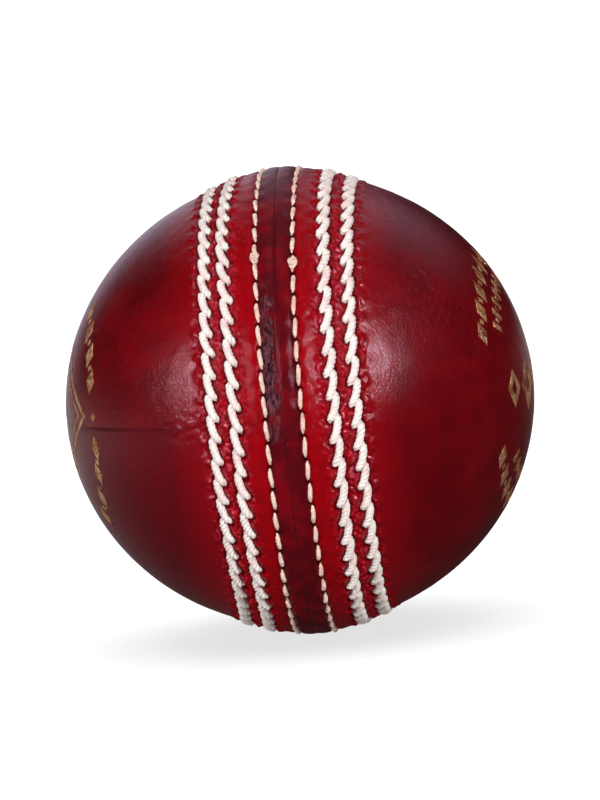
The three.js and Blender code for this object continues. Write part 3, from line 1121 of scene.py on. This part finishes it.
def add_light(name, azimuth, elevation, distance, size, power, colour, mirrored=True):
    """A panel that faces the ball, bright in its middle and fading out to its edges.

    mirrored is False for a light that only brightens colours and leaves no highlight.
    """
    lamp = bpy.data.lights.new(name, "AREA")
    lamp.shape = "RECTANGLE"
    lamp.size, lamp.size_y = size
    lamp.energy = power
    lamp.color = colour
    nodes = Nodes(lamp)
    inputs = {0: nodes.add("ShaderNodeNewGeometry").outputs["Parametric"], 1: (0.5, 0.5, 0)}
    from_middle = nodes.add("ShaderNodeVectorMath", inputs, operation="DISTANCE")
    inputs = {"Value": from_middle.outputs["Value"],
              "From Min": 0.1, "From Max": 0.5, "To Min": 1, "To Max": 0}
    fade = nodes.add("ShaderNodeMapRange", inputs, interpolation_type="SMOOTHSTEP")
    nodes.put(nodes.tree.nodes["Emission"].inputs["Strength"], fade.outputs["Result"])
    holder = bpy.data.objects.new(name, lamp)
    towards = direction(azimuth, elevation)
    holder.location = towards * distance
    holder.visible_camera = False
    holder.visible_glossy = mirrored
    holder.rotation_mode = "QUATERNION"
    holder.rotation_quaternion = towards.to_track_quat("Z", "Y")
    bpy.context.scene.collection.objects.link(holder)


def add_lights():
    white, cool = (0.98, 0.97, 1.0), (0.87, 0.83, 1.0)
    # name, azimuth, elevation, distance and size in metres, power in watts, colour
    add_light("left_softbox", -43, 18, 0.75, (0.10, 0.24), 5.1, white)
    add_light("right_softbox", 34, 22, 0.75, (0.11, 0.25), 10.0, white)
    add_light("top_panel", 5, 80, 0.8, (0.7, 0.6), 1.0, white)
    add_light("back_left", -163, 14, 0.9, (0.8, 0.9), 1.6, cool)
    add_light("back_top", 170, 49, 0.9, (2.0, 1.05), 5.0, cool)
    add_light("left_fill", -38, 0, 0.8, (0.6, 0.6), 8.5, white, mirrored=False)
    add_light("front_fill", 26, 0, 0.8, (0.8, 0.8), 5.5, white, mirrored=False)
    add_light("back_fill", 178, 12, 0.8, (0.8, 0.8), 13.0, white, mirrored=False)


def add_world():
    """Looks plain white to the camera, and lights the ball only faintly."""
    world = bpy.data.worlds.new("studio")
    bpy.context.scene.world = world
    nodes = Nodes(world)
    inputs = {"Color": (0.92, 0.95, 1.0, 1), "Strength": 0.02}
    faint = nodes.add("ShaderNodeBackground", inputs).outputs[0]
    white = nodes.add("ShaderNodeBackground", {"Color": (1, 1, 1, 1)}).outputs[0]
    seen = nodes.add("ShaderNodeLightPath").outputs["Is Camera Ray"]
    mixer = nodes.add("ShaderNodeMixShader", {0: seen, 1: faint, 2: white})
    nodes.put(nodes.tree.nodes["World Output"].inputs["Surface"], mixer.outputs[0])


FLOOR_SHADE = 0.62          # how bright the floor is right under the ball
FLOOR_SHADE_REACH = 0.055   # metres over which the ball darkens the floor
FLOOR_BOUNCE = 0.32         # light that the floor throws back up at the ball
FLOOR_IN_FRONT = 0.035      # what the ball mirrors of the floor: dim, for a deep red
FLOOR_BEHIND = 0.42         # and bright, for a pale rim
FLOOR_BRIGHT_SIDE = -124    # azimuth in degrees of the middle of the bright part


def add_floor():
    """A pale floor that touches the ball's lowest point, with a soft contact shadow.

    The camera sees it evenly lit, as in a studio with light from all round. The ball
    mirrors it dim in front and on the right, and bright behind on the left.
    """
    reach = 3000
    z = cad_box[0].z / MM
    corners = [(x * reach, y * reach, z) for x, y in ((-1, -1), (1, -1), (1, 1), (-1, 1))]
    floor = mesh_object("floor", corners, [(0, 1, 2, 3)])
    look = Look("pale_floor")
    inputs = {"Distance": FLOOR_SHADE_REACH}
    open_sky = look.add("ShaderNodeAmbientOcclusion", inputs, samples=6).outputs["AO"]
    shade = look.remap(open_sky, 0.35, 1.0, FLOOR_SHADE, 1.0)
    inputs = {0: look.position, 1: direction(FLOOR_BRIGHT_SIDE, 0)}
    behind = look.add("ShaderNodeVectorMath", inputs, operation="DOT_PRODUCT")
    reflected = look.remap(behind.outputs["Value"], 0, 0.2, FLOOR_IN_FRONT, FLOOR_BEHIND)
    ray = look.add("ShaderNodeLightPath").outputs
    inputs = {0: ray["Is Diffuse Ray"], 2: reflected, 3: FLOOR_BOUNCE}
    thrown = look.add("ShaderNodeMix", inputs).outputs[0]
    inputs = {0: ray["Is Camera Ray"], 2: thrown, 3: shade}
    strength = look.add("ShaderNodeMix", inputs).outputs[0]
    look.material.cycles.emission_sampling = "NONE"
    look.set(Base_Color=(0, 0, 0, 1), Specular_IOR_Level=0.0, Roughness=1.0)
    look.set(Emission_Color=(1, 1, 1, 1), Emission_Strength=strength)
    floor.data.materials.append(look.material)


add_leather()
add_stitch_rows()
add_foil()
add_inside()
add_floor()
add_world()
add_lights()
add_camera()
set_view()
